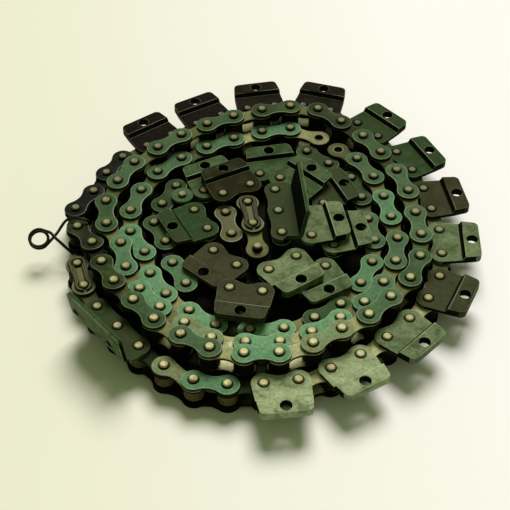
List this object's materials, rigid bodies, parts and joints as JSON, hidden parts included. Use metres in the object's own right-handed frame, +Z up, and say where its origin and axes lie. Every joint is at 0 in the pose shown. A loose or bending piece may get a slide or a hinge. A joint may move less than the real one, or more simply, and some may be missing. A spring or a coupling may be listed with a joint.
{
  "type": "coiled roller chain with lug plates",
  "caption": "Flat coil of steel roller chain, its outer turn fitted with bent, drilled lug plates, tied with a loop of soft wire.",
  "frame": {"origin": "on the floor, under the middle of the coil", "axes": "+Z up, along the chain's pins; -Y towards the front of the picture; +X to its right"},
  "size_m": [0.2687, 0.2851, 0.0441],
  "materials": {
    "verdigris_plate": "tarnished, blue-green patina",
    "dark_steel": "dark, lightly rusted",
    "grey_lug_plate": "grey-green, worn",
    "clip_steel": "spring steel, dull",
    "wire_steel": "soft drawn wire",
    "core_steel": "dark, plain"
  },
  "bodies": {
    "root": {"chain_run_01": "verdigris_plate", "chain_run_02": "verdigris_plate", "chain_run_03": "verdigris_plate", "chain_run_04": "verdigris_plate", "chain_run_05": "verdigris_plate", "chain_run_06": "verdigris_plate", "chain_run_07": "verdigris_plate", "chain_run_08": "verdigris_plate", "chain_run_09": "verdigris_plate", "chain_run_10": "verdigris_plate", "chain_run_11": "verdigris_plate", "chain_run_12": "verdigris_plate", "chain_run_13": "verdigris_plate", "chain_run_14": "verdigris_plate", "corner_bracket": "dark_steel", "inner_run_01": "verdigris_plate", "inner_run_02": "verdigris_plate", "inner_run_03": "verdigris_plate", "inner_run_04": "verdigris_plate", "lug_plate_01": "grey_lug_plate", "lug_plate_02": "grey_lug_plate", "lug_plate_03": "grey_lug_plate", "lug_plate_04": "grey_lug_plate", "lug_plate_05": "grey_lug_plate", "lug_plate_06": "grey_lug_plate", "lug_plate_07": "grey_lug_plate", "lug_plate_08": "dark_steel", "lug_plate_09": "dark_steel", "lug_plate_10": "dark_steel", "lug_plate_11": "dark_steel", "lug_plate_12": "dark_steel", "middle_bracket": "dark_steel", "middle_clip": "clip_steel", "middle_clip_link": "verdigris_plate", "middle_loose_end": "verdigris_plate", "middle_lug_01": "grey_lug_plate", "middle_lug_02": "grey_lug_plate", "middle_lug_03": "grey_lug_plate", "middle_lug_04": "grey_lug_plate", "middle_lug_05": "grey_lug_plate", "middle_lug_06": "grey_lug_plate", "middle_lug_07": "grey_lug_plate", "middle_lug_08": "grey_lug_plate", "middle_lug_09": "grey_lug_plate", "middle_lug_10": "grey_lug_plate", "middle_lug_11": "grey_lug_plate", "middle_lug_12": "grey_lug_plate", "middle_plain_link": "verdigris_plate", "middle_run_01": "verdigris_plate", "plain_core": "core_steel", "spring_clip": "clip_steel", "tie_wire": "wire_steel"}
  },
  "joints": []
}
